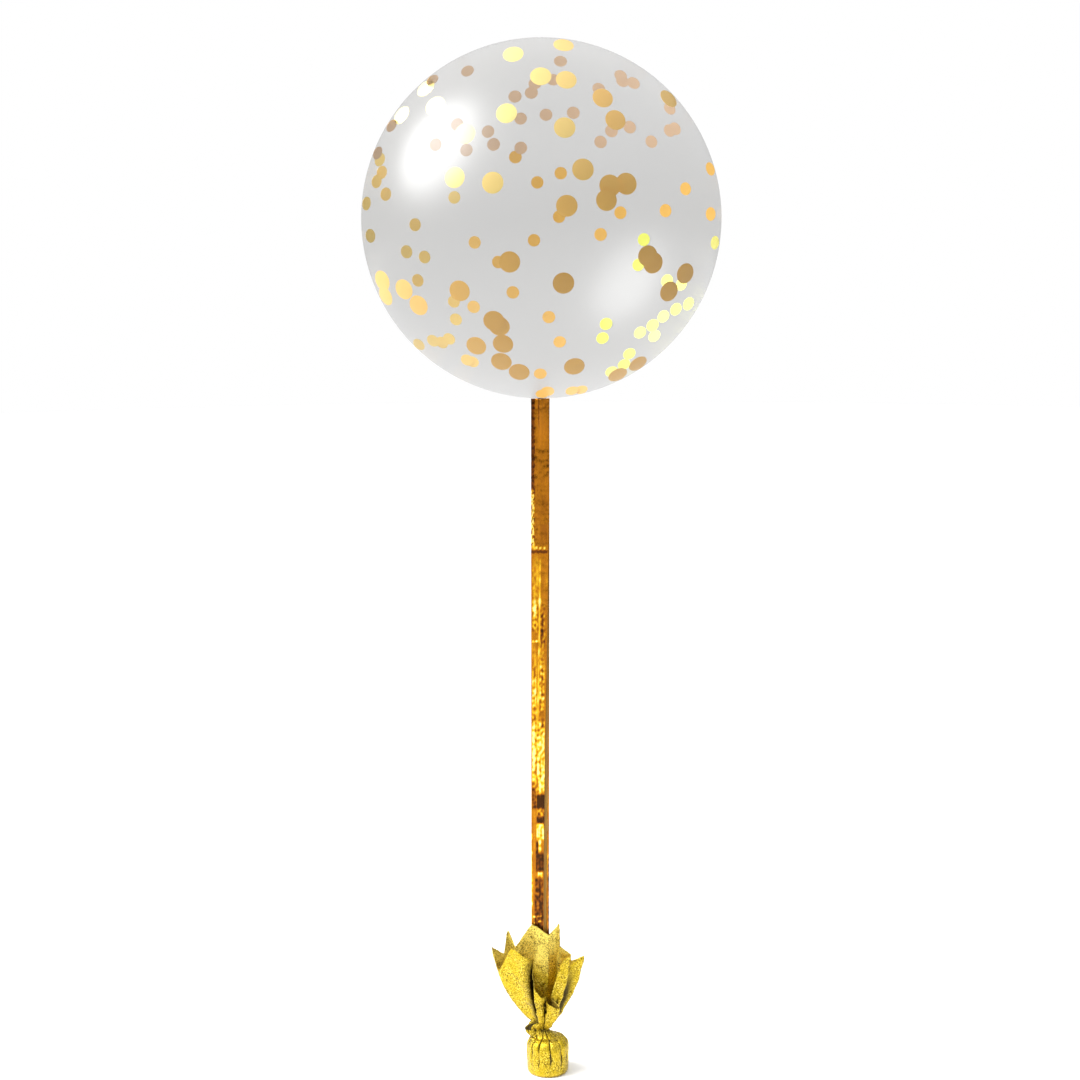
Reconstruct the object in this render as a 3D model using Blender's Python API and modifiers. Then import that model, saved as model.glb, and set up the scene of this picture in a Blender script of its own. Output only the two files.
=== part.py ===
"""Clear bubble balloon on a foil ribbon, standing on its foil-wrapped weight.

The clear globe ends below in a short pinched neck. The ribbon is one band of foil, folded
lengthwise round that neck, and it runs down behind the wrapper to the tied waist of the weight.
The wrapper is one sheet of foil: smooth under the weight, pleated up its side and over its top,
gathered at the waist, and spread above it in a crumpled flare.

Metres, +Z up, seen from -Y. The origin is on the floor, under the middle of the globe.
"""

import math

import bpy
from mathutils import Vector

# Clear globe and the film's pinched neck
GLOBE_WIDTH = 0.450
GLOBE_HEIGHT = 0.445
NECK_RADIUS = 0.0040
NECK_LENGTH = 0.016
NECK_HEM_RADIUS = 0.0048
NECK_HEM_LENGTH = 0.004
NECK_FILLET = 0.003

# Foil ribbon, folded lengthwise with the fold on the left
RIBBON_LENGTH = 0.846
RIBBON_WIDTH = 0.0235
RIBBON_WALL = 0.0006
RIBBON_HALF_GAP = 0.0012
FLAP_SHORT_OF_EDGE = 0.0035
RIDGE_HEIGHT = 0.0010
RIBBON_FOOT_WIDTH = 0.0085
RIBBON_TAPER_LENGTH = 0.075
RIBBON_TOP_ACROSS = -0.0026
RIBBON_LIP_ACROSS = -0.0067
NECK_POCKET_HALF_WIDTH = 0.0100
NECK_POCKET_FADE = 0.050

# Foil-wrapped weight
WEIGHT_DIAMETER = 0.055
WEIGHT_HEIGHT = 0.048
WEIGHT_ACROSS = 0.0025
BASE_EDGE_RADIUS = 0.0022
BASE_CORNERS = 12
SHOULDER_RADIUS = 0.012
PLEAT_DEPTH = 0.0016
WAIST_RADIUS = 0.0055
WAIST_HEIGHT = 0.058
WAIST_SHIFT = -0.0037
EAR_REACH = 0.020
EAR_Z = 0.060
EAR_HALF_HEIGHT = 0.0105

# Flare of the wrapper above the waist
FLARE_HEIGHT = 0.146
FLARE_REACH = 0.0705
FLARE_WALL = 0.0008
FLARE_BULGE = 0.70
FLARE_CUP_SHARE = 0.10

# Clearances between pieces of their own
FIT_GAP = 0.0004
RIBBON_TO_GLOBE_GAP = 0.0011

# The flare's cut edge, one row for each corner or fold, counter-clockwise from the right wing:
# across and away as shares of the reach, and up as a share of the height
FLARE_EDGE = (
    ("right wing", 0.74, -0.09, 0.72),
    ("wing notch", 0.50, 0.08, 0.64),
    ("right shoulder", 0.49, 0.16, 0.69),
    ("spike foot", 0.29, 0.11, 0.78),
    ("right spike", 0.28, 0.16, 0.98),
    ("back notch", 0.08, 0.01, 0.90),
    ("back point", -0.235, 0.00, 1.00),
    ("left notch", -0.55, 0.07, 0.78),
    ("left spike", -0.695, 0.14, 0.93),
    ("wing root", -0.76, 0.05, 0.72),
    ("left wing", -1.00, -0.03, 0.80),
    ("wing underside", -0.85, -0.18, 0.60),
    ("left petal", -0.62, -0.36, 0.84),
    ("petal edge", -0.38, -0.44, 0.78),
    ("inner fold", -0.22, -0.24, 0.72),
    ("front point", -0.20, -0.47, 0.48),
    ("front edge", -0.07, -0.40, 0.38),
    ("strip fold", 0.01, -0.27, 0.37),
    ("front notch", 0.07, -0.35, 0.31),
    ("front flap", 0.27, -0.38, 0.27),
    ("flap fold", 0.11, -0.20, 0.34),
    ("roll top", 0.30, -0.25, 0.66),
    ("right crest", 0.47, -0.29, 0.75),
    ("right groove", 0.42, -0.13, 0.62),
)

# Fineness of the faceted solids
GLOBE_STEPS = 48
GLOBE_ARC_POINTS = 13
POINTS_PER_FOLD = 3
FLARE_ROWS = 7
RIBBON_STATIONS = 22
PLEATS = 13

# Levels and places that follow from the sizes above
WEIGHT_RADIUS = WEIGHT_DIAMETER / 2
WAIST_ACROSS = WEIGHT_ACROSS + WAIST_SHIFT
RIBBON_DEPTH = RIBBON_HALF_GAP + RIBBON_WALL / 2
RIBBON_FOOT_Z = WAIST_HEIGHT
RIBBON_FOOT_AWAY = WAIST_RADIUS + FLARE_WALL / 2 + FIT_GAP + RIBBON_DEPTH + RIDGE_HEIGHT
RIBBON_LIP_Z = WAIST_HEIGHT + FLARE_HEIGHT
RIBBON_TOP_Z = RIBBON_FOOT_Z + RIBBON_LENGTH
GLOBE_BOTTOM_Z = RIBBON_TOP_Z + RIBBON_TO_GLOBE_GAP
GLOBE_CENTRE_Z = GLOBE_BOTTOM_Z + GLOBE_HEIGHT / 2
NECK_POCKET_HALF_GAP = 1.12 * (NECK_HEM_RADIUS + FIT_GAP + RIBBON_WALL / 2)
AROUND = len(FLARE_EDGE) * POINTS_PER_FOLD


def clear_scene():
    for item in list(bpy.data.objects):
        bpy.data.objects.remove(item, do_unlink=True)


def material(name, colour, roughness, metallic=0.0, alpha=1.0):
    made = bpy.data.materials.new(name)
    made.use_nodes = True
    shader = made.node_tree.nodes["Principled BSDF"]
    shader.inputs["Base Color"].default_value = (*colour, 1.0)
    shader.inputs["Roughness"].default_value = roughness
    shader.inputs["Metallic"].default_value = metallic
    shader.inputs["Alpha"].default_value = alpha
    return made


def mesh_object(name, points, edges, faces, finish, collection):
    mesh = bpy.data.meshes.new(name)
    mesh.from_pydata([tuple(p) for p in points], edges, faces)
    mesh.validate()
    mesh.update()
    mesh.materials.append(finish)
    made = bpy.data.objects.new(name, mesh)
    collection.objects.link(made)
    return made


def smoothstep(low, high, value):
    share = min(1.0, max(0.0, (value - low) / (high - low)))
    return share * share * (3 - 2 * share)


def ramp(start, end, share):
    return start + (end - start) * share


def grid_faces(rows, around, closed=True, flip=False):
    """Quads between rows of points, each row holding `around` of them."""
    faces = []
    for row in range(rows - 1):
        for k in range(around if closed else around - 1):
            following = (k + 1) % around
            quad = (
                row * around + k,
                row * around + following,
                (row + 1) * around + following,
                (row + 1) * around + k,
            )
            faces.append(quad[::-1] if flip else quad)
    return faces


def globe_profile():
    """Half section of the globe and its neck, from the top down the outer side."""
    across, up = GLOBE_WIDTH / 2, GLOBE_HEIGHT / 2
    join_radius = NECK_RADIUS + NECK_FILLET
    join_angle = math.asin(join_radius / across)
    quarter = math.pi / 2
    steps = [k / GLOBE_ARC_POINTS for k in range(GLOBE_ARC_POINTS + 1)]
    angles = [quarter * step for step in steps]
    angles += [quarter + (quarter - join_angle) * step for step in steps[1:]]
    points = [(across * math.sin(a), GLOBE_CENTRE_Z + up * math.cos(a)) for a in angles]
    join_z = points[-1][1]
    for degrees in (30, 60, 90):
        turn = math.radians(degrees)
        fillet_radius = join_radius - NECK_FILLET * math.sin(turn)
        points.append((fillet_radius, join_z - NECK_FILLET * (1 - math.cos(turn))))
    hem_z = GLOBE_BOTTOM_Z - NECK_LENGTH
    points.append((NECK_RADIUS, hem_z + NECK_HEM_LENGTH))
    points.append((NECK_HEM_RADIUS, hem_z))
    points.append((0.0, hem_z))
    return points


def build_globe(collection):
    profile = [(x, 0.0, z) for x, z in globe_profile()]
    edges = [(k, k + 1) for k in range(len(profile) - 1)]
    film = material("clear film", (0.86, 0.86, 0.85), 0.12, alpha=0.30)
    globe = mesh_object("balloon_globe", profile, edges, [], film, collection)
    turned = globe.modifiers.new("turned", "SCREW")
    turned.axis = "Z"
    turned.angle = 2 * math.pi
    turned.steps = GLOBE_STEPS
    turned.render_steps = GLOBE_STEPS
    turned.use_merge_vertices = True
    turned.merge_threshold = 0.0001
    turned.use_smooth_shade = True
    return globe


def ribbon_middle(z):
    """Middle of the ribbon at this height, and half its width."""
    if z >= RIBBON_LIP_Z:
        share = (z - RIBBON_LIP_Z) / (RIBBON_TOP_Z - RIBBON_LIP_Z)
        across = ramp(RIBBON_LIP_ACROSS, RIBBON_TOP_ACROSS, share)
    else:
        share = smoothstep(RIBBON_FOOT_Z, RIBBON_LIP_Z, z)
        across = ramp(WAIST_ACROSS, RIBBON_LIP_ACROSS, share)
    away = ramp(RIBBON_FOOT_AWAY, 0.0, (z - RIBBON_FOOT_Z) / RIBBON_LENGTH)
    widening = smoothstep(RIBBON_FOOT_Z, RIBBON_FOOT_Z + RIBBON_TAPER_LENGTH, z)
    return across, away, ramp(RIBBON_FOOT_WIDTH, RIBBON_WIDTH, widening) / 2


def layer_gap(across, z):
    """Half the gap between the two layers: a narrow slot, open round the globe's neck."""
    offset = abs(across) / NECK_POCKET_HALF_WIDTH
    neck_end = GLOBE_BOTTOM_Z - NECK_LENGTH
    here = smoothstep(neck_end - NECK_POCKET_FADE, neck_end - FIT_GAP, z)
    lens = math.cos(offset * math.pi / 2) ** 2 if offset < 1 else 0.0
    return RIBBON_HALF_GAP + (NECK_POCKET_HALF_GAP - RIBBON_HALF_GAP) * lens * here


def ribbon_section(z):
    """The folded band at one height: back layer, fold on the left, front flap with its ridge."""
    middle, away, half = ribbon_middle(z)
    spread = half / (RIBBON_WIDTH / 2)
    flap_end = half - FLAP_SHORT_OF_EDGE * spread
    fold_at = -half + RIBBON_HALF_GAP
    points = []
    for k in range(8):
        across = ramp(half, fold_at, k / 7)
        points.append((middle + across, away + layer_gap(middle + across, z), z))
    points.append((middle - half, away, z))
    for k in range(9):
        across = ramp(fold_at, flap_end, k / 8)
        ridge = RIDGE_HEIGHT * max(0.0, 1 - abs(across) / (0.45 * half))
        points.append((middle + across, away - layer_gap(middle + across, z) - ridge, z))
    return points


def build_ribbon(collection):
    points = []
    for k in range(RIBBON_STATIONS):
        share = k / (RIBBON_STATIONS - 1)
        points += ribbon_section(ramp(RIBBON_FOOT_Z, RIBBON_TOP_Z, share))
    count = len(points) // RIBBON_STATIONS
    faces = grid_faces(RIBBON_STATIONS, count, closed=False, flip=True)
    foil = material("amber foil", (0.62, 0.33, 0.03), 0.22, metallic=1.0)
    ribbon = mesh_object("foil_ribbon", points, [], faces, foil, collection)
    wall = ribbon.modifiers.new("foil", "SOLIDIFY")
    wall.thickness = RIBBON_WALL
    wall.offset = 0.0
    return ribbon


def pleat(angle):
    """1 in the bottom of a pleat and 0 between pleats, which aren't quite evenly spaced."""
    turn = angle * PLEATS + 0.9 * math.sin(2 * angle) + 0.6 * math.sin(3 * angle + 1.0)
    return max(0.0, math.cos(turn)) ** 3


def base_corner(angle):
    """The folded base's radius at this angle, as a share of its radius at a corner."""
    half_side = math.pi / BASE_CORNERS
    return math.cos(half_side) / math.cos(angle % (2 * half_side) - half_side)


def weight_ring(radius, z, pleating, shift=0.0, cornered=0.0):
    """One ring of the wrapped weight, drawn in at its pleats and between its base's corners."""
    ring = []
    for k in range(AROUND):
        angle = 2 * math.pi * k / AROUND
        drawn = radius * ramp(1.0, base_corner(angle), cornered) - pleating * pleat(angle)
        across = WEIGHT_ACROSS + shift + drawn * math.cos(angle)
        ring.append(Vector((across, drawn * math.sin(angle), z)))
    return ring


def weight_rings():
    """Rings of the wrapped weight from the flat base up its side and over its top to the waist."""
    base_radius = WEIGHT_RADIUS - BASE_EDGE_RADIUS
    rings = []
    for degrees in (0, 35, 65, 90):
        turn = math.radians(degrees)
        radius = base_radius + BASE_EDGE_RADIUS * math.sin(turn)
        z = BASE_EDGE_RADIUS * (1 - math.cos(turn))
        rings.append(weight_ring(radius, z, 0.0, cornered=math.cos(turn)))
    side_top = WEIGHT_HEIGHT - SHOULDER_RADIUS
    for share in (0.3, 0.65, 1.0):
        z = ramp(BASE_EDGE_RADIUS, side_top, share)
        rings.append(weight_ring(WEIGHT_RADIUS, z, PLEAT_DEPTH * share))
    for degrees in (25, 50, 75):
        turn = math.radians(degrees)
        radius = WEIGHT_RADIUS - SHOULDER_RADIUS * (1 - math.cos(turn))
        z = side_top + SHOULDER_RADIUS * math.sin(turn)
        rings.append(weight_ring(radius, z, 1.2 * PLEAT_DEPTH))
    shoulder_radius, shoulder_z = WEIGHT_RADIUS - SHOULDER_RADIUS, WEIGHT_HEIGHT
    for share in (0.25, 0.55, 0.8):
        radius = ramp(shoulder_radius, WAIST_RADIUS, share)
        z = ramp(shoulder_z, WAIST_HEIGHT, share**1.6)
        pleating = ramp(1.2, 0.7, share) * PLEAT_DEPTH
        rings.append(weight_ring(radius, z, pleating, WAIST_SHIFT * share))
    return rings


def waist_point(fold):
    angle = 2 * math.pi * fold / len(FLARE_EDGE)
    across = WAIST_ACROSS + WAIST_RADIUS * math.cos(angle)
    return Vector((across, WAIST_RADIUS * math.sin(angle), WAIST_HEIGHT))


def edge_point(fold):
    _, across, away, up = FLARE_EDGE[fold]
    place = Vector((across * FLARE_REACH, away * FLARE_REACH, up * FLARE_HEIGHT))
    return Vector((WAIST_ACROSS, 0.0, WAIST_HEIGHT)) + place


def fold_point(fold, share):
    """Where a fold line is at this share of the way from the waist to the cut edge."""
    start, end = waist_point(fold), edge_point(fold)
    spread = (1 + FLARE_BULGE) * share - FLARE_BULGE * share * share
    flat = start.lerp(end, spread)
    return Vector((flat.x, flat.y, ramp(start.z, end.z, share)))


def flare_ring(share):
    """The flare's sheet at one share of its height, straight between neighbouring folds."""
    folds = len(FLARE_EDGE)
    ring = []
    for fold in range(folds):
        here, following = fold_point(fold, share), fold_point((fold + 1) % folds, share)
        for k in range(POINTS_PER_FOLD):
            ring.append(here.lerp(following, k / POINTS_PER_FOLD))
    return ring


def add_ear(ring):
    """The wrapper's loose ear, a low bulge beside the waist on the left."""
    bulge = max(0.0, 1 - ((ring[0].z - EAR_Z) / EAR_HALF_HEIGHT) ** 2)
    for k, point in enumerate(ring):
        angle = 2 * math.pi * k / AROUND
        near = max(0.0, math.cos(angle - math.radians(190))) ** 8
        point.x -= EAR_REACH * near * bulge


def wall_offsets(rows):
    """From the flare's middle to its outer face, at each point of its rows, with mitred folds."""
    sharpest = math.cos(math.radians(60))
    offsets = []
    for r, row in enumerate(rows):
        below, above = rows[max(0, r - 1)], rows[min(len(rows) - 1, r + 1)]
        line = []
        for k, point in enumerate(row):
            along_fold = above[k] - below[k]
            before = (point - row[k - 1]).cross(along_fold).normalized()
            after = (row[(k + 1) % AROUND] - point).cross(along_fold).normalized()
            middle = (before + after).normalized()
            line.append(middle * FLARE_WALL / 2 / max(sharpest, middle.dot(before)))
        offsets.append(line)
    return offsets


def build_weight(collection):
    shares = [ramp(FLARE_CUP_SHARE, 1.0, k / (FLARE_ROWS - 1)) for k in range(FLARE_ROWS)]
    sheet = [flare_ring(share) for share in shares]
    offsets = wall_offsets(sheet)
    outer = [[p + o for p, o in zip(*lines)] for lines in zip(sheet, offsets)]
    inner = [[p - o for p, o in zip(*lines)] for lines in zip(sheet, offsets)]
    rings = weight_rings() + [flare_ring(0.0)]
    for ring in rings:
        add_ear(ring)
    rings += outer + inner[::-1]
    points = [Vector((WEIGHT_ACROSS, 0.0, 0.0))]
    for ring in rings:
        points += ring
    cup = sum(inner[0], Vector()) / AROUND
    points.append(cup)
    faces = [
        tuple(index + 1 for index in quad) for quad in grid_faces(len(rings), AROUND)
    ]
    last = 1 + (len(rings) - 1) * AROUND
    for k in range(AROUND):
        following = (k + 1) % AROUND
        faces.append((0, 1 + following, 1 + k))
        faces.append((len(points) - 1, last + k, last + following))
    foil = material("gold embossed foil", (0.85, 0.66, 0.05), 0.30, metallic=1.0)
    return mesh_object("foil_wrapped_weight", points, [], faces, foil, collection)


def main():
    clear_scene()
    collection = bpy.data.collections.new("clear_bubble_balloon")
    bpy.context.scene.collection.children.link(collection)
    build_globe(collection)
    build_ribbon(collection)
    build_weight(collection)


main()
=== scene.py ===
"""Looks of a clear bubble balloon on a foil ribbon, standing over its foil-wrapped weight.

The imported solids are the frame. Each operator below makes one piece or group of like pieces in the
frame's own metres, +Z up and seen from -Y, and the last one makes the floor, the lamps and the camera.
"""

import math
import random

import bpy
from bpy.props import FloatProperty, FloatVectorProperty, IntProperty, PointerProperty
from mathutils import Matrix, Vector, noise
from mathutils.bvhtree import BVHTree
import numpy as np


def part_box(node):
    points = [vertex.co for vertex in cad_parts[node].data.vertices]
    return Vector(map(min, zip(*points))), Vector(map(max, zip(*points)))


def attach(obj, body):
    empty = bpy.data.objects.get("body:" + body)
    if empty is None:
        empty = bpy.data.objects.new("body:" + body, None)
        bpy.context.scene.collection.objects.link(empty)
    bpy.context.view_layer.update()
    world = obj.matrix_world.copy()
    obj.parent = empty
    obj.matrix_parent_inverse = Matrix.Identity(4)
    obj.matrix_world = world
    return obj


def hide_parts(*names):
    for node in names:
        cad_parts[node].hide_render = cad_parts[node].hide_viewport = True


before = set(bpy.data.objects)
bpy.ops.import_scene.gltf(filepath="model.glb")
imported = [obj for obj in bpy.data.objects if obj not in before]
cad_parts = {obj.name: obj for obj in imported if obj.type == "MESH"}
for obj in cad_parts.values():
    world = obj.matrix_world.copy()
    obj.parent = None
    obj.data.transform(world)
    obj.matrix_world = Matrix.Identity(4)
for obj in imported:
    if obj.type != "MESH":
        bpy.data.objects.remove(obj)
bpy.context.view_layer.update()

bl_info = {
    "name": "Clear Bubble Balloon",
    "version": (1, 0, 0),
    "blender": (4, 5, 0),
    "location": "3D View > Sidebar > Balloon",
    "description": "Makes a clear film balloon with foil discs, its foil ribbon and its wrapped weight",
    "category": "Add Mesh",
}

# Box of the solid globe among the imported solids
GLOBE_LOW, GLOBE_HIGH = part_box("balloon_globe")

# Film globe and its pinched neck
NECK_RADIUS = 0.0040
NECK_LENGTH = 0.016
NECK_HEM_RADIUS = 0.0048
NECK_HEM_LENGTH = 0.004
NECK_FILLET = 0.003
NECK_PLEATS = 15
NECK_PLEAT_DEPTH = 0.0011
NECK_PLEAT_FADE = 0.022
GLOBE_RADIUS = (GLOBE_HIGH.x - GLOBE_LOW.x) / 2
GLOBE_BOTTOM_Z = GLOBE_LOW.z + NECK_LENGTH
GLOBE_RISE = (GLOBE_HIGH.z - GLOBE_BOTTOM_Z) / 2
GLOBE_CENTRE = Vector((0.0, 0.0, GLOBE_BOTTOM_Z + GLOBE_RISE))

# Viewing place, level with the globe's middle
CAMERA_AWAY = 2.50
CAMERA_ACROSS = -0.004

# Where the softbox stands, seen from the globe's middle: on the left and above
KEY_SIDE = (-0.80, -0.15, 0.58)

# The sky that the foil mirrors: its grey, how high it starts and stops brightening, as sines of the
# angle above the floor's level, and its strength there
SKY_GREY = (0.8, 0.8, 0.8)
SKY_LOW = 0.15
SKY_HIGH = 0.80
SKY_DIM = 0.16
SKY_BRIGHT = 1.65

# Foil ribbon, folded lengthwise
RIBBON_LENGTH = 0.846
RIBBON_WIDTH = 0.0235
RIBBON_HALF_GAP = 0.0012
RIBBON_FOOT_WIDTH = 0.0085
RIBBON_TAPER_LENGTH = 0.075
RIBBON_TOP_ACROSS = -0.0026
RIBBON_LIP_ACROSS = -0.0067
RIBBON_HEM_LOW = 0.0034
RIBBON_HEM_HIGH = 0.0004
FLAP_SHORT_LOW = 0.0072
FLAP_SHORT_HIGH = 0.0006
NECK_POCKET_HALF_WIDTH = 0.0100
NECK_POCKET_FADE = 0.050

# Wrapped weight and its flare
WEIGHT_DIAMETER = 0.055
WEIGHT_HEIGHT = 0.048
WEIGHT_ACROSS = 0.0025
BASE_EDGE_RADIUS = 0.0022
BASE_CORNERS = 12
SHOULDER_RADIUS = 0.012
PLEAT_DEPTH = 0.0016
WAIST_RADIUS = 0.0055
WAIST_HEIGHT = 0.058
WAIST_SHIFT = -0.0037
EAR_REACH = 0.021
EAR_Z = 0.0585
EAR_HALF_HEIGHT = 0.0125
EAR_TURN = math.radians(190)
EAR_SHARPNESS = 6
FLARE_HEIGHT = 0.146
FLARE_REACH = 0.0705
FLARE_BULGE = 0.70
PLEATS = 13

# How deep the fine gathers are on each side of the waist, and how far from it they fade
WEIGHT_GATHER_DEPTH = 0.0024
WEIGHT_GATHER_FADE = 0.004
FLARE_GATHER_DEPTH = 0.0022
FLARE_GATHER_FADE = 0.010

# Painted reflections, highlights and shade on the ribbon's foil, in bands and patches: low and high
# level, left and right edge as shares of its width from the left, how bright each is, from 0 for dark
# brown to 1 for pale yellow, and how far its upper and lower edges fade
RIBBON_PAINTED_LIGHT = (
    ("left strip by the globe", 0.780, 0.910, 0.00, 0.17, 0.19, 0.010),
    ("left speckle", 0.712, 0.786, 0.00, 0.17, 0.90, 0.004),
    ("upper right shade", 0.756, 0.780, 0.52, 0.90, 0.36, 0.001),
    ("lower right shade", 0.716, 0.742, 0.52, 0.90, 0.34, 0.001),
    ("crease", 0.7045, 0.7085, 0.00, 0.90, 0.14, 0.001),
    ("crease's bright edge", 0.7095, 0.7130, 0.16, 0.88, 0.86, 0.001),
    ("left facet", 0.600, 0.700, 0.05, 0.42, 0.56, 0.008),
    ("left facet's glints", 0.6285, 0.6335, 0.06, 0.30, 0.86, 0.001),
    ("curved line", 0.5865, 0.5895, 0.08, 0.38, 0.84, 0.001),
    ("right facet", 0.580, 0.636, 0.50, 0.76, 0.34, 0.004),
    ("left panel", 0.395, 0.560, 0.06, 0.30, 0.66, 0.030),
    ("left panel's glints", 0.404, 0.476, 0.05, 0.17, 0.92, 0.012),
    ("left panel's low end", 0.362, 0.395, 0.04, 0.28, 0.24, 0.004),
    ("right panel", 0.385, 0.482, 0.32, 0.74, 0.72, 0.005),
    ("right panel's high end", 0.482, 0.570, 0.44, 0.72, 0.54, 0.025),
    ("first dark band", 0.363, 0.381, 0.30, 0.76, 0.00, 0.002),
    ("band between", 0.3525, 0.3615, 0.32, 0.74, 0.52, 0.002),
    ("second dark band", 0.3425, 0.3515, 0.30, 0.74, 0.02, 0.002),
    ("flame", 0.320, 0.341, 0.30, 0.70, 0.84, 0.003),
    ("flame's tip", 0.304, 0.322, 0.40, 0.56, 0.80, 0.004),
    ("dark beside the tip", 0.300, 0.318, 0.26, 0.38, 0.10, 0.003),
    ("dark under the flame", 0.276, 0.301, 0.26, 0.70, 0.06, 0.004),
    ("spark", 0.268, 0.274, 0.40, 0.62, 0.74, 0.001),
    ("dark lower middle", 0.190, 0.266, 0.20, 0.68, 0.13, 0.004),
    ("upper pale glint", 0.2118, 0.2145, 0.06, 0.22, 1.00, 0.001),
    ("upper orange glint", 0.2122, 0.2142, 0.34, 0.62, 0.62, 0.001),
    ("lower orange glint", 0.2050, 0.2068, 0.36, 0.60, 0.60, 0.001),
    ("lower pale glint", 0.2022, 0.2048, 0.06, 0.20, 0.94, 0.001),
    ("left edge below", 0.190, 0.330, 0.00, 0.06, 0.70, 0.010),
    ("red edge below", 0.150, 0.300, 0.92, 1.00, 0.34, 0.010),
)

# A painted highlight along the thin ridge down the ribbon: where it starts and ends, its shares of the
# width from the left there, and where it shines most
RIDGE_LINE_LOW = 0.478
RIDGE_LINE_HIGH = 0.699
RIDGE_LINE_LOW_SHARE = 0.36
RIDGE_LINE_HIGH_SHARE = 0.50
RIDGE_LINE_HOT = 0.641

# Where painted dark specks break the painted bright strip on the left, and where the crease's painted
# highlight breaks into dots
SPECKLE_LOW_Z = 0.712
SPECKLE_SHARE = 0.19
DOTS_LOW_Z = 0.708
DOTS_HIGH_Z = 0.7145
DOTS_SHARE = 0.88

# Clearances that the ribbon keeps
FIT_GAP = 0.0004
RIBBON_WALL = 0.0006
FLARE_WALL = 0.0008
RIDGE_HEIGHT = 0.0010

# The flare's cut edge, counter-clockwise from the right wing: across and away as shares of the
# reach, up as a share of the height, and how round the fold is, from 0, sharp, to 1
FLARE_EDGE = (
    ("right wing", 0.74, -0.09, 0.72, 0),
    ("wing notch", 0.50, 0.08, 0.64, 0.3),
    ("right shoulder", 0.49, 0.16, 0.69, 0.3),
    ("spike foot", 0.29, 0.11, 0.78, 0.2),
    ("right spike", 0.28, 0.16, 0.98, 0),
    ("back notch", 0.08, 0.01, 0.90, 0.2),
    ("back point", -0.235, 0.00, 1.00, 0.5),
    ("left notch", -0.55, 0.07, 0.78, 0.2),
    ("left spike", -0.695, 0.14, 0.93, 0),
    ("wing root", -0.76, 0.05, 0.72, 0.3),
    ("left wing", -1.00, -0.03, 0.80, 0),
    ("wing underside", -0.85, -0.18, 0.60, 0.2),
    ("left petal", -0.62, -0.36, 0.84, 0.5),
    ("petal edge", -0.38, -0.44, 0.78, 0.8),
    ("inner fold", -0.22, -0.24, 0.72, 0),
    ("front point", -0.20, -0.47, 0.48, 0),
    ("front edge", -0.07, -0.40, 0.38, 0.6),
    ("strip fold", 0.01, -0.27, 0.37, 0),
    ("front notch", 0.07, -0.35, 0.31, 0.6),
    ("front flap", 0.27, -0.38, 0.27, 0.8),
    ("flap fold", 0.11, -0.20, 0.34, 0),
    ("roll top", 0.30, -0.25, 0.66, 0.7),
    ("right crest", 0.47, -0.29, 0.75, 0.7),
    ("right groove", 0.42, -0.13, 0.62, 0),
)

# Creases of the flare that lie in shadow: how dark at the waist, and how many columns of points the
# shadow spreads over before the fold and after it
CREASE_SHADES = {
    "inner fold": (1.0, 23.0, 2.0),
    "strip fold": (0.95, 2.5, 3.0),
    "flap fold": (0.9, 3.0, 3.0),
    "right groove": (1.0, 3.5, 13.0),
    "wing root": (0.5, 3.0, 3.0),
    "wing underside": (0.45, 4.0, 3.0),
    "spike foot": (0.35, 4.0, 2.0),
    "left notch": (0.4, 2.0, 5.0),
}

# Places of the large discs on the near side, across and up as shares of the globe's radius
LARGE_DISCS = (
    (-0.15, 0.91), (0.13, 0.98), (0.00, 0.79), (0.14, 0.77), (-0.19, 0.59), (0.34, 0.67),
    (0.13, 0.51), (0.41, 0.55), (0.23, 0.28), (-0.27, 0.21), (0.38, 0.19), (0.47, 0.20),
    (0.36, 0.11), (0.14, 0.08), (-0.18, -0.23), (0.12, -0.35), (-0.46, -0.39), (0.59, -0.20),
    (0.62, -0.24), (0.71, -0.40), (0.80, -0.30), (-0.89, -0.33), (-0.88, -0.42), (-0.77, -0.38),
    (-0.69, -0.47), (-0.27, -0.56), (-0.24, -0.59), (-0.22, -0.69), (-0.37, -0.70), (-0.23, -0.79),
    (-0.13, -0.85), (0.18, -0.82), (0.54, -0.81), (0.43, -0.88), (-0.65, 0.75), (-0.79, 0.60),
    (0.72, 0.68), (-0.58, 0.63), (-0.42, 0.48), (-0.48, 0.24),
)

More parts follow.
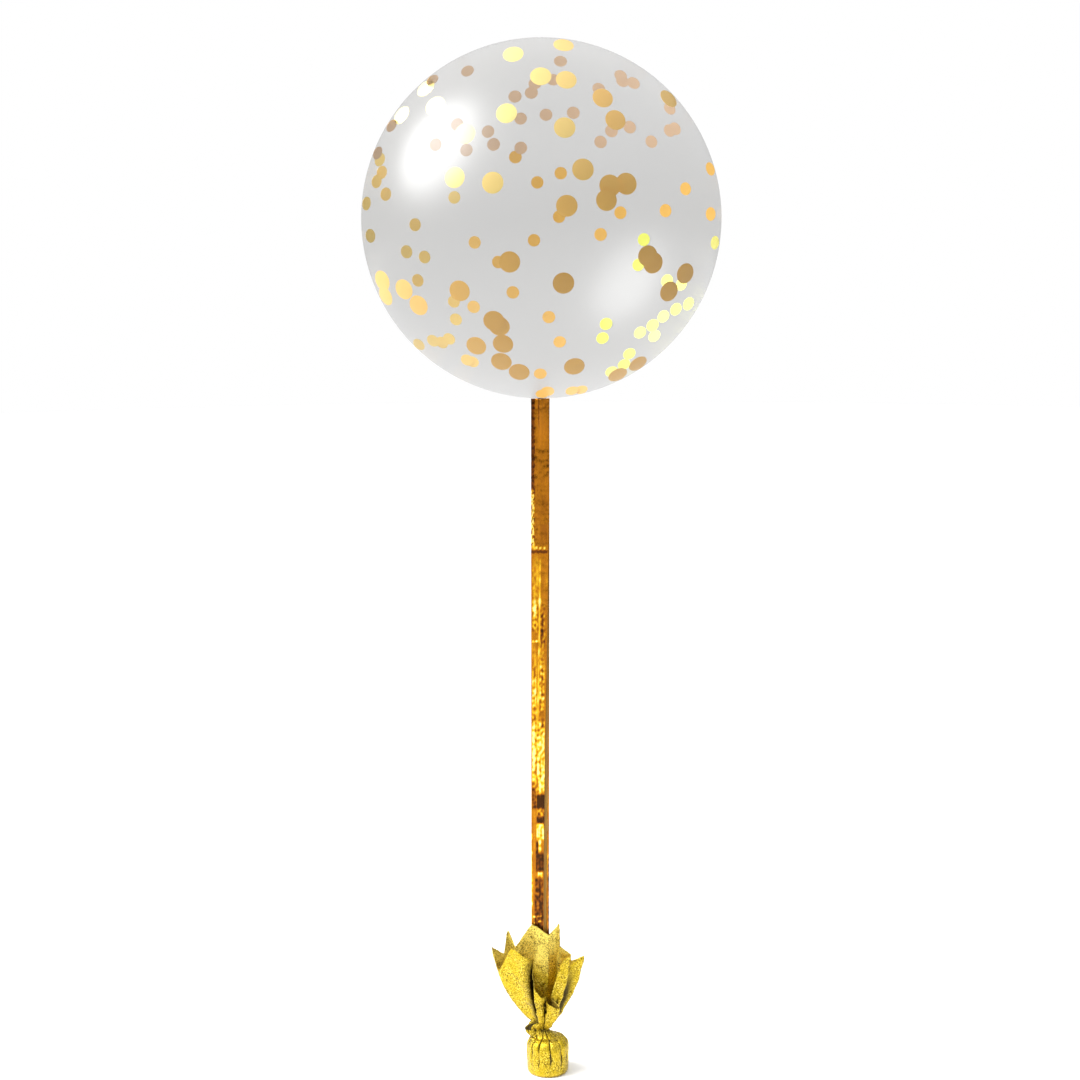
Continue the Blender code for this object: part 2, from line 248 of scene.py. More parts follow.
# Places of the small discs on the far side, likewise
SMALL_DISCS = (
    (0.11, 0.87), (-0.40, 0.82), (-0.60, 0.78), (0.07, 0.77), (-0.03, 0.75), (-0.05, 0.70),
    (-0.14, 0.68), (0.44, 0.79), (0.45, 0.76), (0.51, 0.75), (0.32, 0.72), (0.03, 0.58),
    (0.18, 0.59), (-0.11, 0.56), (-0.29, 0.49), (-0.26, 0.42), (-0.11, 0.40), (-0.14, 0.35),
    (0.39, 0.49), (0.49, 0.51), (0.33, 0.43), (0.61, 0.43), (0.71, 0.61), (0.71, 0.49),
    (0.74, 0.50), (-0.02, 0.21), (0.11, 0.26), (-0.48, 0.13), (-0.86, 0.15), (-0.91, 0.22),
    (-0.88, 0.27), (-0.89, 0.34), (-0.91, 0.38), (0.10, 0.02), (0.44, 0.04), (0.69, 0.05),
    (0.80, 0.17), (0.94, 0.28), (0.94, 0.03), (0.97, -0.13), (0.33, -0.08), (-0.04, -0.11),
    (-0.37, -0.12), (-0.24, -0.23), (-0.70, -0.02), (-0.95, -0.08), (-0.98, 0.10), (-0.75, -0.17),
    (-0.65, -0.20), (-0.69, -0.33), (-0.49, -0.45), (-0.48, -0.55), (-0.38, -0.48), (-0.16, -0.40),
    (0.04, -0.54), (0.10, -0.68), (-0.01, -0.86), (0.03, -0.96), (0.00, -0.98), (0.17, -0.97),
    (0.22, -0.96), (-0.61, -0.67), (-0.56, -0.68), (-0.52, -0.66), (-0.69, -0.69), (-0.42, -0.78),
    (-0.39, -0.79), (0.57, -0.11), (0.54, -0.25), (0.70, -0.34), (0.78, -0.36), (0.82, -0.47),
    (0.75, -0.50), (0.68, -0.54), (0.62, -0.59), (0.63, -0.65), (0.55, -0.63), (0.36, -0.58),
    (0.34, -0.66), (0.49, -0.75), (0.46, -0.81), (0.39, -0.85), (-0.58, 0.42), (-0.46, 0.53),
    (-0.41, 0.39), (-0.83, 0.53),
)

# Least share of its width that a disc shows from the front, by the globe's rim
FACING_LEAST = 0.58

# Points round a disc, how far the discs lie inside the film, and the steps that keep them apart
DISC_POINTS = 30
DISC_INSET = 0.0007
DISC_STEP = 0.00035
DISC_STEPS = 4

# The test for how shut in a point of the wrapper is: its rays, how far they reach, and how far off
# the foil they start
SHADE_RAYS = 14
SHADE_REACH = 0.022
SHADE_LIFT = 0.0003

# How dark the painted shade of a crease may be, how many folds away its painted shadow ends, how far the
# painted shade in the waist's grooves shows above and below it, and how much painted light lightens the
# foil inside the flare by its cut edge
CREASE_DARKEST = 0.75
CREASE_REACH = 1.8
WAIST_SHADE_HEIGHT = 0.007
INSIDE_PAINTED_LIGHT = 0.75

# Levels and places that follow from the sizes above
WEIGHT_RADIUS = WEIGHT_DIAMETER / 2
WAIST_ACROSS = WEIGHT_ACROSS + WAIST_SHIFT
RIBBON_DEPTH = RIBBON_HALF_GAP + RIBBON_WALL / 2
RIBBON_FOOT_Z = WAIST_HEIGHT
RIBBON_FOOT_AWAY = WAIST_RADIUS + FLARE_WALL / 2 + FIT_GAP + RIBBON_DEPTH + RIDGE_HEIGHT
RIBBON_LIP_Z = WAIST_HEIGHT + FLARE_HEIGHT
RIBBON_TOP_Z = RIBBON_FOOT_Z + RIBBON_LENGTH
NECK_POCKET_HALF_GAP = 1.12 * (NECK_HEM_RADIUS + FIT_GAP + RIBBON_WALL / 2)


def smoothstep(low, high, value):
    """The value's way from low to high, eased, as 0 to 1. Low may be the greater of the two."""
    share = min(1.0, max(0.0, (value - low) / (high - low)))
    return share * share * (3 - 2 * share)


def ramp(start, end, share):
    return start + (end - start) * share


def full_turn(step, steps):
    """The angle at this step of a full turn."""
    return 2 * math.pi * step / steps


def colour_value(name, description, default):
    return FloatVectorProperty(
        name=name, description=description, default=default, subtype="COLOR", min=0.0, max=1.0)


def share_value(name, description, default):
    return FloatProperty(
        name=name, description=description, default=default, subtype="FACTOR", min=0.0, max=1.0)


def angle_value(name, description, degrees):
    return FloatProperty(
        name=name, description=description, default=math.radians(degrees), unit="ROTATION")


def length_value(name, description, default):
    return FloatProperty(
        name=name, description=description, default=default, unit="LENGTH", min=0.0)


class FilmLook(bpy.types.PropertyGroup):
    """Sizes and colours of the clear film globe."""

    colour: colour_value("Film", "Colour of the film's faint haze", (0.045, 0.040, 0.030))
    haze: share_value("Haze", "How much of what lies behind one layer of film it hides", 0.25)
    roughness: share_value("Roughness", "Softness of the highlights", 0.36)
    coat: share_value("Coat roughness", "Softness of the film's own gloss", 0.30)
    around: IntProperty(name="Around", description="Points around the globe", default=168, min=24)
    up: IntProperty(name="Up", description="Rings from the top to the neck", default=112, min=16)


class DiscLook(bpy.types.PropertyGroup):
    """Sizes and colours of the foil discs inside the globe."""

    large: length_value("Large disc", "Diameter", 0.0250)
    small: length_value("Small disc", "Diameter", 0.0172)
    thickness: length_value("Thickness", "Thickness", 0.00020)
    # The palest, yellow-green, rosy and deep colours are painted highlights, reflections and shade on
    # one gold foil, set by each disc's place
    bright: colour_value("Bright foil", "Colour of the palest discs", (1.0, 0.86, 0.30))
    colour: colour_value("Foil", "Colour of most discs", (1.0, 0.62, 0.17))
    deep: colour_value("Deep foil", "Colour of the darkest discs", (0.54, 0.28, 0.025))
    painted_lime_highlight: colour_value(
        "Painted lime highlight", "Colour of the discs low on the far side, on the right", (0.62, 0.68, 0.07))
    painted_rose_reflection: colour_value("Painted rose reflection", "Colour of the discs high on the far side", (0.60, 0.41, 0.26))
    roughness: share_value("Roughness", "Softness of the sheen", 0.44)
    seed: IntProperty(name="Seed", description="Seed of the discs' small differences", default=7)


class RibbonLook(bpy.types.PropertyGroup):
    """Sizes and colours of the folded ribbon."""

    # Pale, yellow, brown and dark are painted highlights, reflections and shade on the amber foil; the
    # reverse keeps its own tan
    pale: colour_value("Pale", "Colour where it shines most", (1.0, 0.90, 0.32))
    yellow: colour_value("Yellow", "Colour of its bright patches", (0.98, 0.56, 0.02))
    amber: colour_value("Amber side", "Colour of the outer side", (0.50, 0.18, 0.004))
    brown: colour_value("Brown", "Colour where the foil is creased", (0.20, 0.050, 0.003))
    dark: colour_value("Dark", "Colour of its darkest bands", (0.050, 0.016, 0.002))
    tan: colour_value("Reverse", "Colour of the inner side", (0.42, 0.210, 0.028))
    thickness: length_value("Foil", "Thickness of the foil", 0.00012)
    crinkle: length_value("Crinkle", "Depth of the creases", 0.00045)
    rows: IntProperty(name="Rows", description="Rows of points down the ribbon", default=840)


class WrapperLook(bpy.types.PropertyGroup):
    """Sizes and colours of the embossed wrapper."""

    gold: colour_value("Foil", "Colour of the foil", (0.64, 0.445, 0.006))
    # Painted highlights on the raised grain, also used for the painted light inside the flare
    glint: colour_value("Glints", "Colour on the raised grain", (1.0, 0.78, 0.14))
    # Painted shade in the pits of the embossing
    deep: colour_value("Painted pit shade", "Colour in the embossing and the creases", (0.075, 0.048, 0.003))
    # Painted shade deep in the folds and creases
    painted_fold_shade: colour_value("Painted fold shade", "Colour deep in the folds", (0.045, 0.030, 0.003))
    crumple: length_value("Crumple", "Depth of the broad crumples", 0.0013)
    crinkle: length_value("Crinkle", "Depth of the fine creases", 0.00045)
    emboss_cell: length_value("Embossing", "Size of one embossed grain", 0.0015)
    gathers: IntProperty(name="Gathers", description="Fine pleats round the waist", default=19)
    base_round: length_value("Base rounding", "How high the rounding of the base's edge reaches", 0.0065)
    thickness: length_value("Foil", "Thickness of the foil", 0.00030)
    columns: IntProperty(
        name="Columns", description="Points between two folds of the flare", default=15)
    flare_rows: IntProperty(name="Flare rows", description="Rows up the flare", default=92)


class StageLook(bpy.types.PropertyGroup):
    """Floor, lamps and camera."""

    floor: colour_value("Floor", "Colour of the floor", (0.95, 0.95, 0.95))
    floor_reach: length_value("Floor reach", "Radius of the floor", 9.8)
    sky: FloatProperty(name="Sky lamp", description="Strength of the even light", default=1.3)
    sky_spread: angle_value("Sky spread", "Angle that the even light fills", 60)
    key: FloatProperty(name="Softbox", description="Power, in watts", default=52.0)
    key_size: length_value("Softbox width", "Diameter", 1.15)
    key_away: length_value("Softbox distance", "From the globe's middle", 1.35)
    lens: FloatProperty(name="Lens", description="Focal length, in millimetres", default=65.63)
    pitch: angle_value("Pitch", "How far the camera looks down", 9.22)
    roll: angle_value("Roll", "How far the camera leans", -0.33)


class Wire:
    """An output socket that takes part in arithmetic. Each expression on it adds Math nodes."""

    def __init__(self, nodes, socket):
        self.nodes = nodes
        self.socket = socket

    def maths(self, operation, first, second=0.0):
        return self.nodes.node("ShaderNodeMath", {"operation": operation}, {0: first, 1: second})

    def __add__(self, other):
        return self.maths("ADD", self, other)

    def __radd__(self, other):
        return self.maths("ADD", other, self)

    def __sub__(self, other):
        return self.maths("SUBTRACT", self, other)

    def __rsub__(self, other):
        return self.maths("SUBTRACT", other, self)

    def __mul__(self, other):
        return self.maths("MULTIPLY", self, other)

    def __rmul__(self, other):
        return self.maths("MULTIPLY", other, self)


class Nodes:
    """Makes the nodes of a material or of the world."""

    def __init__(self, tree):
        self.tree = tree

    def feed(self, socket, value):
        if isinstance(value, Wire):
            self.tree.links.new(value.socket, socket)
        elif socket.type == "RGBA" and len(value) == 3:
            socket.default_value = (*value, 1.0)
        else:
            socket.default_value = value

    def node(self, kind, settings=None, values=None, output=0):
        """Adds a node: its settings come first, a ramp's stops among them, then its sockets."""
        made = self.tree.nodes.new(kind)
        for key, value in (settings or {}).items():
            if key == "stops":
                self.set_stops(made.color_ramp, value)
            else:
                setattr(made, key, value)
        for key, value in (values or {}).items():
            self.feed(made.inputs[key], value)
        return Wire(self, made.outputs[output])

    @staticmethod
    def set_stops(color_ramp, stops):
        while len(color_ramp.elements) < len(stops):
            color_ramp.elements.new(1.0)
        for element, (position, colour) in zip(color_ramp.elements, stops):
            element.position = position
            element.color = (*colour, 1.0)

    def between(self, value, low, high, start=0.0, end=1.0):
        """The value's way from low to high, eased, as a number from start to end."""
        values = {"Value": value, "From Min": low, "From Max": high, "To Min": start, "To Max": end}
        return self.node("ShaderNodeMapRange", {"interpolation_type": "SMOOTHSTEP"}, values)


class Finish(Nodes):
    """One material, made of nodes."""

    def __init__(self, name):
        self.material = bpy.data.materials.new(name)
        self.material.use_nodes = True
        super().__init__(self.material.node_tree)

    def surface(self, **values):
        """Sets the shader's sockets, named with _ for a space."""
        shader = self.tree.nodes["Principled BSDF"]
        for key, value in values.items():
            self.feed(shader.inputs[key.replace("_", " ")], value)
        return self.material

    def place(self):
        return self.node("ShaderNodeTexCoord", output="Object")

    def stretched(self, place, scale):
        settings = {"operation": "MULTIPLY"}
        return self.node("ShaderNodeVectorMath", settings, {0: place, 1: scale})

    def noise(self, place, scale, detail=3.0, roughness=0.5):
        values = {"Vector": place, "Scale": scale, "Detail": detail, "Roughness": roughness}
        return self.node("ShaderNodeTexNoise", None, values)

    def cells(self, place, scale):
        return self.node("ShaderNodeTexVoronoi", None, {"Vector": place, "Scale": scale})

    def mix(self, share, first, second):
        return self.node("ShaderNodeMix", {"data_type": "RGBA"}, {0: share, 6: first, 7: second}, 2)

    def bump(self, height, depth, strength=1.0):
        values = {"Strength": strength, "Distance": depth, "Height": height}
        return self.node("ShaderNodeBump", None, values)


def film_finish(look):
    finish = Finish("clear film")
    return finish.surface(
        Base_Color=look.colour, Roughness=look.roughness, Alpha=look.haze, IOR=1.5,
        Specular_IOR_Level=1.0, Coat_Weight=1.0, Coat_Roughness=look.coat)


def disc_finish(look):
    finish = Finish("gold foil disc")
    tone = finish.node("ShaderNodeAttribute", {"attribute_name": "tone"}, None, "Fac")
    # Stops from painted shade through plain gold to painted highlights and reflections
    stops = ((0.0, look.deep), (0.5, look.colour), (0.72, look.bright), (0.87, look.painted_lime_highlight),
             (0.95, look.painted_rose_reflection))
    colour = finish.node("ShaderNodeValToRGB", {"stops": stops}, {"Fac": tone})
    return finish.surface(Base_Color=colour, Metallic=0.30, Roughness=look.roughness)


def amber_finish(look):
    finish = Finish("amber foil")
    place = finish.place()
    glow = finish.node("ShaderNodeAttribute", {"attribute_name": "glow"}, None, "Fac")
    streaks = finish.noise(finish.stretched(place, (420.0, 420.0, 70.0)), 1.0, 3.0, 0.6)
    # Stops from dark painted shade through the foil's own amber to painted highlights
    stops = ((0.06, look.dark), (0.24, look.brown), (0.48, look.amber), (0.72, look.yellow),
             (0.95, look.pale))
    share = glow + (streaks - 0.5) * 0.22
    colour = finish.node("ShaderNodeValToRGB", {"stops": stops}, {"Fac": share})
    return finish.surface(
        Base_Color=colour, Metallic=0.85, Roughness=finish.between(streaks, 0.3, 0.7, 0.16, 0.30),
        Normal=finish.bump(streaks, 0.0003, 0.5))


def tan_finish(look):
    finish = Finish("reverse of the ribbon")
    grain = finish.noise(finish.stretched(finish.place(), (300.0, 300.0, 60.0)), 1.0)
    shade = tuple(0.8 * channel for channel in look.tan)
    return finish.surface(
        Base_Color=finish.mix(grain, look.tan, shade), Metallic=0.3, Roughness=0.55,
        Normal=finish.bump(grain, 0.0003, 0.4))


def gold_finish(look):
    finish = Finish("gold embossed foil")
    place = finish.place()
    scale = 1 / look.emboss_cell
    grain = finish.cells(place, scale)
    fine = finish.noise(place, 1.6 * scale, 2.0, 0.6)
    broad = finish.noise(place, 60.0, 3.0, 0.6)
    height = grain * 0.7 + fine * 0.5
    # Painted shade in the embossing's pits and painted glints on its raised grain, patchy by a broad
    # noise
    specks = finish.noise(place, 1.15 * scale, 1.0, 0.5)
    painted_pit_shade = finish.between(specks, 0.49, 0.61) * finish.between(broad, 0.40, 0.58, 0.45, 1.0)
    glints = finish.between(specks, 0.47, 0.36) * finish.between(broad, 0.36, 0.60, 0.35, 1.0)
    shut = finish.node("ShaderNodeAttribute", {"attribute_name": "shade"}, None, "Fac")
    # Painted shade in the folds and creases, from the shade attribute
    dark = finish.between(shut, 0.16, 0.62)
    # Painted light inside the flare by its cut edge, where the shade falls below 0
    lit = finish.mix(finish.between(shut, -0.05, -0.6, 0.0, 0.95), look.gold, look.glint)
    colour = finish.mix(painted_pit_shade * 0.9, lit, look.deep)
    colour = finish.mix(glints * 0.8, colour, look.glint)
    colour = finish.mix(dark, colour, look.painted_fold_shade)
    return finish.surface(
        Base_Color=colour, Metallic=0.72, Roughness=finish.between(fine, 0.3, 0.7, 0.22, 0.38),
        Normal=finish.bump(height, 0.0007, 0.75))


def floor_finish(look):
    finish = Finish("pale floor")
    soft = finish.noise(finish.place(), 3.0, 2.0)
    shade = tuple(0.985 * channel for channel in look.floor)
    return finish.surface(Base_Color=finish.mix(soft, look.floor, shade), Roughness=0.75)


def mesh_piece(name, points, faces, materials):
    mesh = bpy.data.meshes.new(name)
    mesh.from_pydata([tuple(p) for p in points], [], faces)
    mesh.validate()
    mesh.shade_smooth()
    for material in materials:
        mesh.materials.append(material)
    piece = bpy.data.objects.new(name, mesh)
    bpy.context.scene.collection.objects.link(piece)
    return piece


def grid_faces(rows, around, closed=True, first=0):
    """Quads between rows of points, each row holding `around` of them."""
    faces = []
    for row in range(rows - 1):
        for k in range(around if closed else around - 1):
            following = (k + 1) % around
            low, high = first + row * around, first + (row + 1) * around
            faces.append((low + k, low + following, high + following, high + k))
    return faces


def closed_faces(rows, around):
    """Faces of a closed form: rows of points between its first point and its last one."""
    faces = grid_faces(rows, around, first=1)
    last = 1 + (rows - 1) * around
    for k in range(around):
        following = (k + 1) % around
        faces.append((0, 1 + following, 1 + k))
        faces.append((last + around, last + k, last + following))
    return faces


def store(piece, name, values):
    """Keeps one number for each point, which the piece's finish reads by this name."""
    attribute = piece.data.attributes.new(name, "FLOAT", "POINT")
    attribute.data.foreach_set("value", values)


def film_profile(look):
    """(radius, height) of the globe's rings, from under the top down to the hem of the neck."""
    join_radius = NECK_RADIUS + NECK_FILLET
    join_angle = math.asin(join_radius / GLOBE_RADIUS)
    profile = []
    for k in range(1, look.up + 1):
        angle = (math.pi - join_angle) * k / look.up
        height = GLOBE_CENTRE.z + GLOBE_RISE * math.cos(angle)
        profile.append((GLOBE_RADIUS * math.sin(angle), height))
    join_z = profile[-1][1]
    for degrees in range(15, 91, 15):
        turn = math.radians(degrees)
        radius = join_radius - NECK_FILLET * math.sin(turn)
        profile.append((radius, join_z - NECK_FILLET * (1 - math.cos(turn))))
    hem_top = GLOBE_LOW.z + NECK_HEM_LENGTH
    for share in (0.25, 0.5, 0.75, 1.0):
        profile.append((NECK_RADIUS, ramp(profile[-1][1], hem_top, share)))
    profile.append((NECK_HEM_RADIUS, GLOBE_LOW.z + 0.3 * NECK_HEM_LENGTH))
    profile.append((NECK_HEM_RADIUS * 0.96, GLOBE_LOW.z))
    return profile


def neck_pleat(angle, distance):
    """How far the film is drawn in at this distance from the neck, along the film."""
    turn = NECK_PLEATS * angle + 0.8 * math.sin(2 * angle) + distance * 30
    depth = NECK_PLEAT_DEPTH * math.exp(-distance / NECK_PLEAT_FADE)
    return depth * (0.5 - 0.5 * math.cos(turn))


class BALLOON_OT_film(bpy.types.Operator):
    """Makes the clear film globe with its pinched neck"""

    bl_idname = "balloon.film"
    bl_label = "Film globe"

    def execute(self, context):
        look = context.scene.film_look
        profile = film_profile(look)
        points = [Vector((0.0, 0.0, GLOBE_HIGH.z))]
        for radius, height in profile:
            distance = max(0.0, radius - NECK_RADIUS) if height < GLOBE_CENTRE.z else 1.0
            for k in range(look.around):
                angle = full_turn(k, look.around)
                drawn = radius - neck_pleat(angle, distance)
                points.append((drawn * math.cos(angle), drawn * math.sin(angle), height))
        points.append(Vector((0.0, 0.0, GLOBE_LOW.z)))
        faces = [face[::-1] for face in closed_faces(len(profile), look.around)]
        globe = mesh_piece("film_globe", points, faces, [film_finish(look)])
        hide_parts("balloon_globe")
        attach(globe, "root")
        return {"FINISHED"}


def film_place(across, up, near, inset):
    """Where the line of sight through this place of the globe's outline meets the film's inside."""
    edge = GLOBE_RADIUS / math.sqrt(CAMERA_AWAY**2 - GLOBE_RADIUS**2)
    eye = Vector((0.0, -CAMERA_AWAY, 0.0))
    flat = GLOBE_RADIUS / GLOBE_RISE
    sight = Vector((across * edge, 1.0, up * edge)).normalized()
    ball = GLOBE_RADIUS - inset
    half = eye.dot(sight)
    inside = max(0.0, half * half - eye.length_squared + ball * ball)
    distance = -half + math.sqrt(inside) * (-1 if near else 1)
    point = eye + sight * distance
    point = point.normalized() * ball
    normal = Vector((point.x, point.y, point.z * flat)).normalized()
    return GLOBE_CENTRE + Vector((point.x, point.y, point.z / flat)), normal


def hanging_lean(across, up):
    """Sine of the angle between film and disc at this place: discs by the rim hang off the film."""
    facing = math.sqrt(max(0.0, 1 - across * across - up * up))
    return math.sin(math.acos(facing) - math.acos(FACING_LEAST + (1 - FACING_LEAST) * facing))


def leaning(normal, near):
    """The film's normal, turned towards the front or back as far as a disc there hangs off it."""
    front = Vector((0.0, -1.0 if near else 1.0, 0.0))
    facing = max(0.0, min(1.0, normal.dot(front)))
    wanted = FACING_LEAST + (1 - FACING_LEAST) * facing
    side = normal - front * facing
    if side.length < 0.01:
        return normal
    return front * wanted + side.normalized() * math.sqrt(1 - wanted * wanted)


def disc_painted_light_tone(across, up, near):
    """The disc's painted light by its place: 0 for the deepest colour, 0.5 for plain gold, 0.72 for the
    palest, 0.87 for lime, 1 for rose.
    """
    if near:
        # Near discs: painted highlight, paler round the upper left where the softbox shines, and painted
        # shade, darker low down
        pale = smoothstep(0.95, 0.35, math.hypot(across + 0.52, up - 0.75))
        low = smoothstep(0.25, -0.45, up) * smoothstep(-0.75, -0.20, across)
        return ramp(0.50, 0.10, low) + 0.20 * pale
    # Far discs: painted reflection, rosy high up, a painted yellow-green highlight low on the right
    # where the softbox is mirrored, and darker grading paler to the left
    if up > 0.35:
        return 1.0
    if across > 0.30 and up < -0.10:
        return 0.87
    return ramp(0.22, 0.58, smoothstep(-0.20, -0.45, across))


def add_disc(points, faces, painted_light_tones, centre, normal, radius, thickness, tone):
    """One foil disc bent to the film: a dome of three rings on each side, closed at the rim."""
    across = normal.orthogonal().normalized()
    along = normal.cross(across)
    first = len(points)
    for side in (1, -1):
        points.append(centre + normal * side * thickness / 2)
        for share in (0.5, 0.9, 1.0):
            sag = (share * radius) ** 2 / (2 * GLOBE_RADIUS)
            lift = side * thickness / 2 * (0.6 if share == 1.0 else 1.0) - sag
            for k in range(DISC_POINTS):
                angle = full_turn(k, DISC_POINTS)
                spread = across * math.cos(angle) + along * math.sin(angle)
                points.append(centre + spread * share * radius + normal * lift)
    side_count = 1 + 3 * DISC_POINTS
    for side in (0, 1):
        start = first + side * side_count
        for k in range(DISC_POINTS):
            following = (k + 1) % DISC_POINTS
            fan = [(start, start + 1 + k, start + 1 + following)]
            for ring in (0, 1):
                low = start + 1 + ring * DISC_POINTS
                high = low + DISC_POINTS
                fan.append((low + k, high + k, high + following, low + following))
            faces += fan if side == 0 else [face[::-1] for face in fan]
    top = first + 1 + 2 * DISC_POINTS
    under = top + side_count
    for k in range(DISC_POINTS):
        following = (k + 1) % DISC_POINTS
        faces.append((top + k, under + k, under + following, top + following))
    painted_light_tones += [tone] * 2 * side_count


class BALLOON_OT_discs(bpy.types.Operator):
    """Makes the foil discs that cling to the inside of the film"""

    bl_idname = "balloon.discs"
    bl_label = "Foil discs"

    def execute(self, context):
        look = context.scene.disc_look
        finish = disc_finish(look)
        chance = random.Random(look.seed)
        groups = (("large_discs", LARGE_DISCS, look.large, True),
                  ("small_discs", SMALL_DISCS, look.small, False))
        for name, places, diameter, near in groups:
            points, faces, painted_light_tones = [], [], []
            for k, (across, up) in enumerate(places):
                radius = diameter / 2 * chance.uniform(0.98, 1.02)
                inset = DISC_INSET + DISC_STEP * (k % DISC_STEPS) + radius * hanging_lean(across, up)
                centre, normal = film_place(across, up, near, inset)
                normal = leaning(normal, near)
                # Painted light by the disc's place, with a small random tone of its own
                tone = disc_painted_light_tone(across, up, near) + chance.uniform(-0.03, 0.03)
                add_disc(points, faces, painted_light_tones, centre, normal, radius, look.thickness, tone)
            piece = mesh_piece(name, points, faces, [finish])
            store(piece, "tone", painted_light_tones)
            piece.data.set_sharp_from_angle(angle=math.radians(40))
            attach(piece, "root")
        return {"FINISHED"}


def ribbon_middle(z):
    """Middle of the ribbon at this height, and half its width."""
    if z >= RIBBON_LIP_Z:
        share = (z - RIBBON_LIP_Z) / (RIBBON_TOP_Z - RIBBON_LIP_Z)
        across = ramp(RIBBON_LIP_ACROSS, RIBBON_TOP_ACROSS, share)
    else:
        share = smoothstep(RIBBON_FOOT_Z, RIBBON_LIP_Z, z)
        across = ramp(WAIST_ACROSS, RIBBON_LIP_ACROSS, share)
    away = ramp(RIBBON_FOOT_AWAY, 0.0, (z - RIBBON_FOOT_Z) / RIBBON_LENGTH)
    widening = smoothstep(RIBBON_FOOT_Z, RIBBON_FOOT_Z + RIBBON_TAPER_LENGTH, z)
    return across, away, ramp(RIBBON_FOOT_WIDTH, RIBBON_WIDTH, widening) / 2


def layer_gap(across, z):
    """Half the gap between the two layers: a narrow slot, open round the globe's neck."""
    offset = abs(across) / NECK_POCKET_HALF_WIDTH
    here = smoothstep(GLOBE_LOW.z - NECK_POCKET_FADE, GLOBE_LOW.z - FIT_GAP, z)
    lens = math.cos(offset * math.pi / 2) ** 2 if offset < 1 else 0.0
    return RIBBON_HALF_GAP + (NECK_POCKET_HALF_GAP - RIBBON_HALF_GAP) * lens * here


def creases(across, z, amount):
    """How far the foil stands out of its plane here, in sharp ridges that mostly run down it."""
    down = noise.noise(Vector((across * 260, 0.0, z * 18)))
    bend = noise.noise(Vector((across * 60 + 9.0, 3.0, z * 75)))
    fine = noise.noise(Vector((across * 700, 5.0, z * 160)))
    return amount * (1.0 - 2.2 * abs(down) - 1.0 * abs(bend) - 0.5 * abs(fine))


def painted_ridge_highlight(share, z):
    """How much of the thin ridge's painted highlight shows here, 0 to 1."""
    up = (z - RIDGE_LINE_LOW) / (RIDGE_LINE_HIGH - RIDGE_LINE_LOW)
    middle = ramp(RIDGE_LINE_LOW_SHARE, RIDGE_LINE_HIGH_SHARE, up)
    there = smoothstep(0.0, 0.05, up) * smoothstep(1.0, 0.97, up)
    hot = math.exp(-(((z - RIDGE_LINE_HOT) / 0.004) ** 2))
    width = ramp(0.040, 0.075, hot)
    shine = min(1.0, 0.55 + 0.7 * noise.noise(Vector((0.0, 4.0, z * 95))) + hot)
    return max(0.0, shine) * there * math.exp(-(((share - middle) / width) ** 2))


def foil_painted_light(across, z):
    """How bright the ribbon's painted light is here, 0 to 1: painted reflections, highlights and shade
    in patches, and the ridge's painted highlight, over a plain amber.
    """
    share = 0.5 + across / RIBBON_WIDTH
    ragged = noise.noise(Vector((across * 300, 8.0, z * 90)))
    level = z + 0.0012 * ragged + 0.0006 * noise.noise(Vector((across * 900, 2.0, z * 300)))
    lane = share + 0.025 * noise.noise(Vector((across * 200, 4.0, z * 60)))
    streak = noise.noise(Vector((share * 9.0, 5.0, z * 26)))
    mottled = noise.noise(Vector((share * 7.0, 9.0, z * 210)))
    rough = smoothstep(0.72, 0.60, z)
    glow = ramp(0.45, 0.41, smoothstep(0.700, 0.716, z))
    glow += (0.10 * noise.noise(Vector((share * 3.0, 6.0, z * 34))) + 0.10 * streak) * rough
    for _, low, high, left, right, bright, fade in RIBBON_PAINTED_LIGHT:
        up = smoothstep(low - fade, low + fade, level) * smoothstep(high + fade, high - fade, level)
        inside = smoothstep(left - 0.03, left + 0.03, lane) if left > 0.0 else 1.0
        inside *= smoothstep(right + 0.03, right - 0.03, lane) if right < 1.0 else 1.0
        uneven = (0.32 * streak + 0.50 * mottled) * min(1.0, 0.35 + 2.5 * bright) * rough
        glow = ramp(glow, bright + uneven, up * inside * 0.94)
    glow = ramp(glow, 1.0, painted_ridge_highlight(share, z))
    if share < SPECKLE_SHARE and z > SPECKLE_LOW_Z:
        glow *= 1 - 0.7 * smoothstep(0.05, 0.25, noise.noise(Vector((share * 14, 1.0, z * 210))))
    if DOTS_LOW_Z < z < DOTS_HIGH_Z and share < DOTS_SHARE:
        glow = ramp(glow, 0.44, smoothstep(-0.05, 0.10, noise.noise(Vector((share * 9, 3.0, 2.0)))))
    return glow


